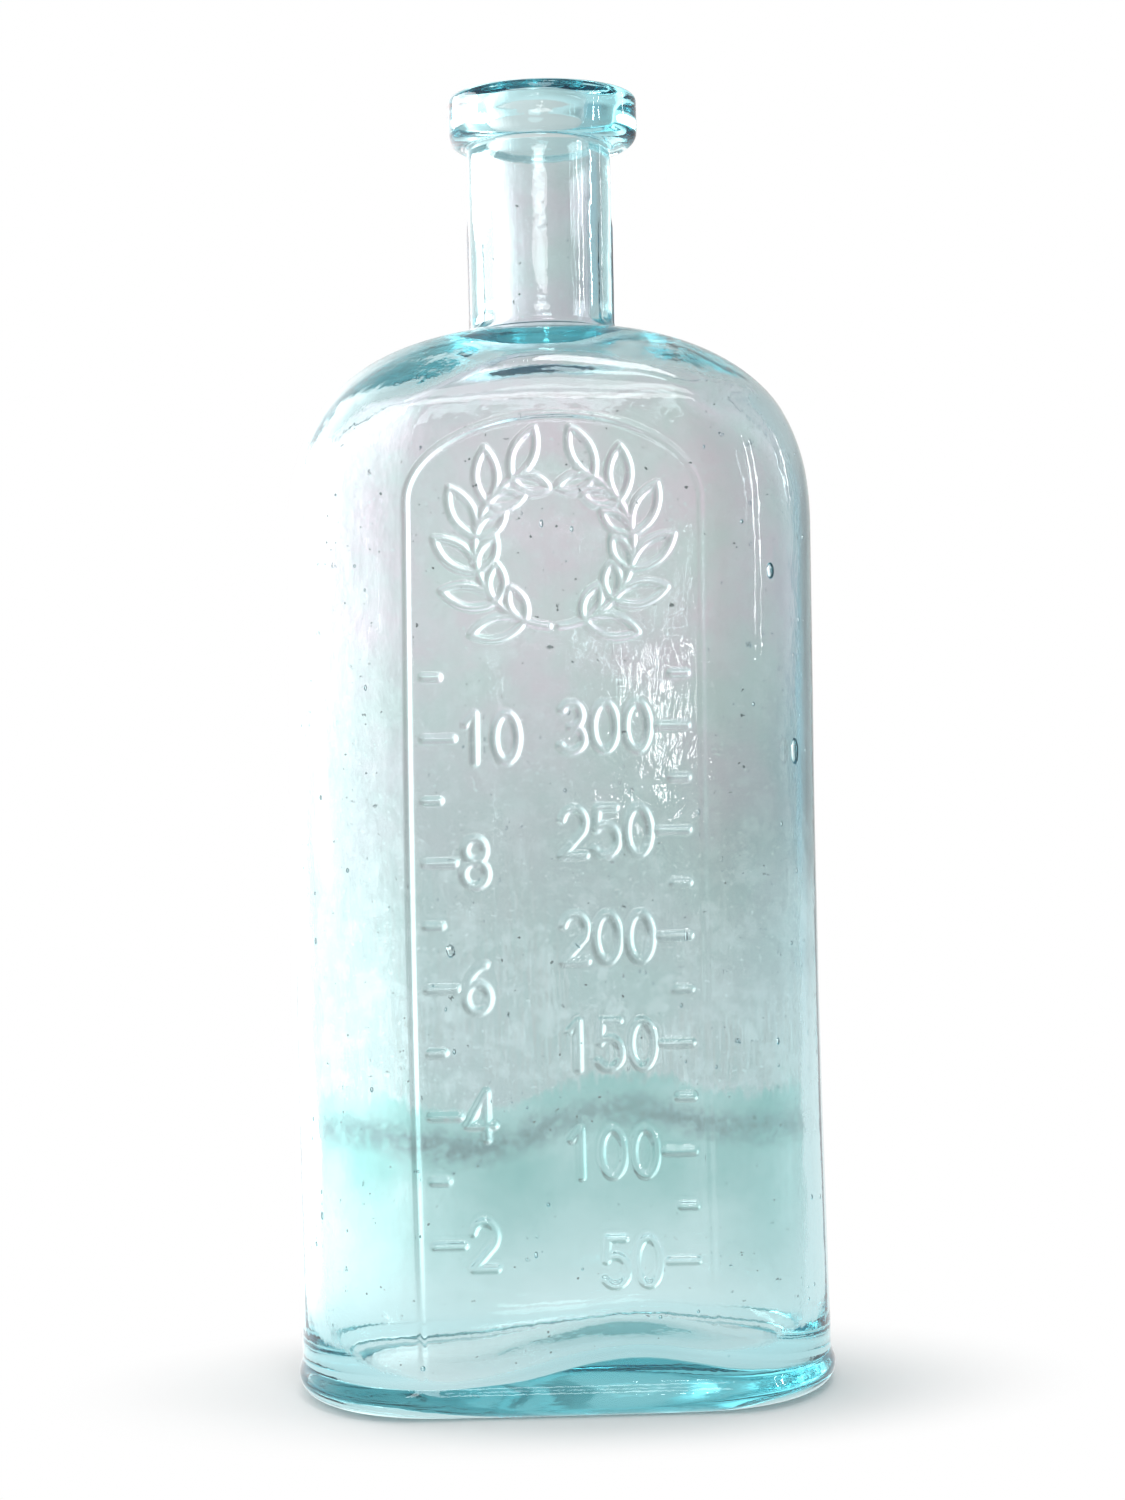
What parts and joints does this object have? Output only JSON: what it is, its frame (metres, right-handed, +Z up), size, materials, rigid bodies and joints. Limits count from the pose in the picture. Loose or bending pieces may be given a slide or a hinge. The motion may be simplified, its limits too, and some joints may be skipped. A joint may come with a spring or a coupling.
{
  "type": "pharmacy bottle",
  "caption": "Flat-fronted oval bottle of pale aqua glass with an arched label plate, rounded shoulders, a straight neck, a squared lip and a hollow body open at the mouth.",
  "frame": {"origin": "middle of the resting ring, on the surface that the bottle stands on", "axes": "+Z up through the neck, -Y out of the flat front with the label plate, +X to the right of someone who faces that front"},
  "size_m": [0.0886, 0.0512, 0.2118],
  "materials": {
    "body_glass": "fire-polished aqua glass with ripples, seeds and a faint inside haze",
    "lip_glass": "thick tooled aqua glass"
  },
  "bodies": {
    "root": {"blown_body": "body_glass", "applied_lip": "lip_glass"}
  },
  "joints": []
}
